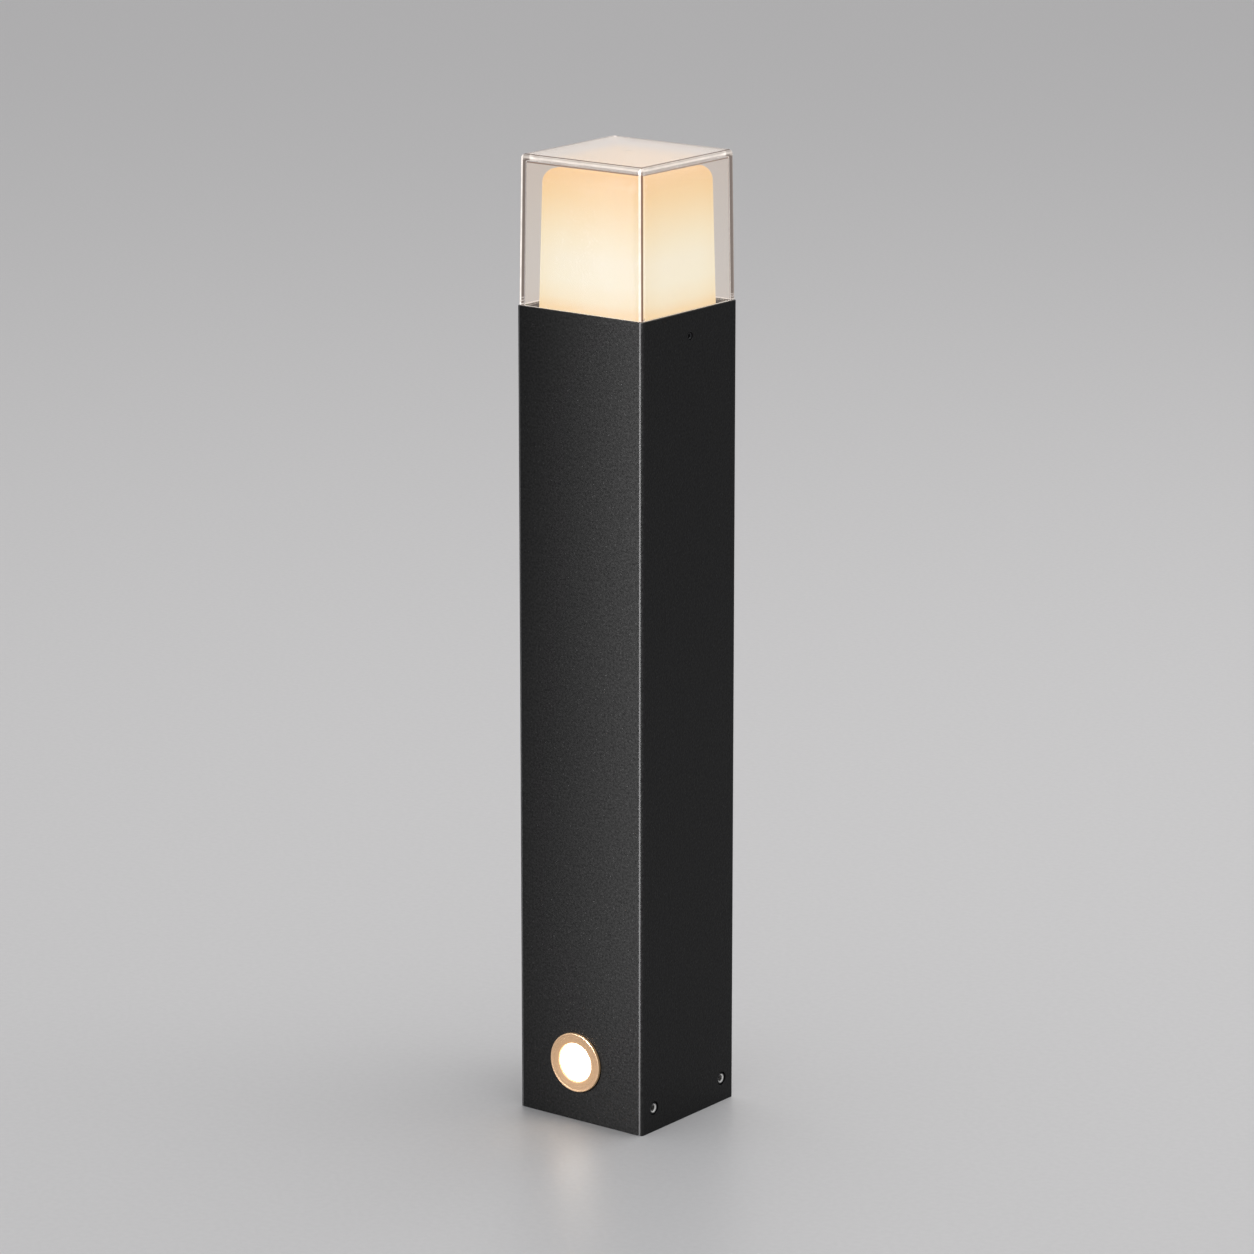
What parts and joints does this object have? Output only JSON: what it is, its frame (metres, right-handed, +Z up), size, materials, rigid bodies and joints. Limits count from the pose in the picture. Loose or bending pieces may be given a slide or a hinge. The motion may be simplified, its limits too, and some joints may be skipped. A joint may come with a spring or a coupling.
{
  "type": "bollard light",
  "caption": "Square garden bollard light with a lift-off clear cover over an opal diffuser, a replaceable screw-in bulb and a round marker light low on the front.",
  "frame": {"origin": "on the ground at the centre of the square post", "axes": "+Z up, -Y out of the face with the marker light, +X out of a face with set screws"},
  "size_m": [0.095, 0.0974, 0.6],
  "materials": {
    "post_coat": "fine-texture matt graphite powder coat",
    "foot_steel": "galvanised sheet steel",
    "rubber": "matt black rubber",
    "zinc": "bright zinc-plated steel",
    "stainless": "stainless steel",
    "bezel_metal": "satin turned aluminium",
    "marker_lens": "frosted white lens, lit",
    "reflector_white": "gloss white moulding",
    "led_phosphor": "yellow phosphor",
    "board_white": "white solder mask",
    "heat_sink": "turned aluminium",
    "brass": "plain brass",
    "lead_black": "black silicone sleeve",
    "wire_brown": "brown insulation",
    "wire_green": "green and yellow insulation",
    "wire_red": "silicone insulation",
    "nylon": "natural nylon",
    "driver_case": "white polycarbonate case",
    "holder_ceramic": "glazed white ceramic",
    "nickel": "nickel plate",
    "bulb_white": "white bulb housing",
    "bulb_frost": "frosted bulb globe",
    "black_glass": "black insulator",
    "collar_black": "satin black moulding",
    "clear_acrylic": "clear polished acrylic",
    "opal_acrylic": "opal acrylic, lit from inside",
    "sealant": "translucent silicone"
  },
  "bodies": {
    "foot": {"foot_plate": "foot_steel", "cable_grommet": "rubber"},
    "post": {"post": "post_coat", "base_nuts": "zinc", "base_set_screws": "stainless", "head_set_screws": "stainless", "marker_bezel": "bezel_metal", "marker_seal": "rubber", "marker_lens": "marker_lens", "marker_reflector": "reflector_white", "marker_led": "led_phosphor", "marker_board": "board_white", "marker_heat_sink": "heat_sink", "marker_ring_nut": "heat_sink", "marker_gland": "rubber", "marker_lead": "lead_black", "gear_tray": "foot_steel", "tray_studs": "zinc", "tray_nuts": "zinc", "terminal_block": "nylon", "terminal_inserts": "brass", "terminal_screws": "zinc", "led_driver": "driver_case", "driver_wires": "wire_brown", "earth_screw": "zinc", "earth_lug": "zinc", "earth_wire": "wire_green", "wire_clips": "nylon", "holder_body": "holder_ceramic", "holder_shell": "nickel", "holder_contact": "brass", "holder_screws": "zinc", "lamp_wires": "wire_red"},
    "bulb": {"bulb_globe": "bulb_frost", "bulb_housing": "bulb_white", "bulb_cap": "nickel", "bulb_insulator": "black_glass", "bulb_contact": "nickel", "bulb_board": "board_white"},
    "head": {"head_collar": "collar_black", "collar_gasket": "rubber", "clear_cover": "clear_acrylic", "cover_seal": "sealant", "opal_diffuser": "opal_acrylic", "diffuser_seal": "sealant"}
  },
  "joints": [
    {"name": "post_lift", "type": "slide", "parent": "foot", "child": "post", "axis": [0, 0, 1], "range_m": [0, 0.06]},
    {"name": "head_lift", "type": "slide", "parent": "post", "child": "head", "axis": [0, 0, 1], "range_m": [0, 0.12]},
    {"name": "bulb_turn", "type": "hinge", "parent": "post", "child": "bulb", "pos_m": [0, 0, 0.478], "axis": [0, 0, 1], "range_deg": [0, 360]}
  ]
}
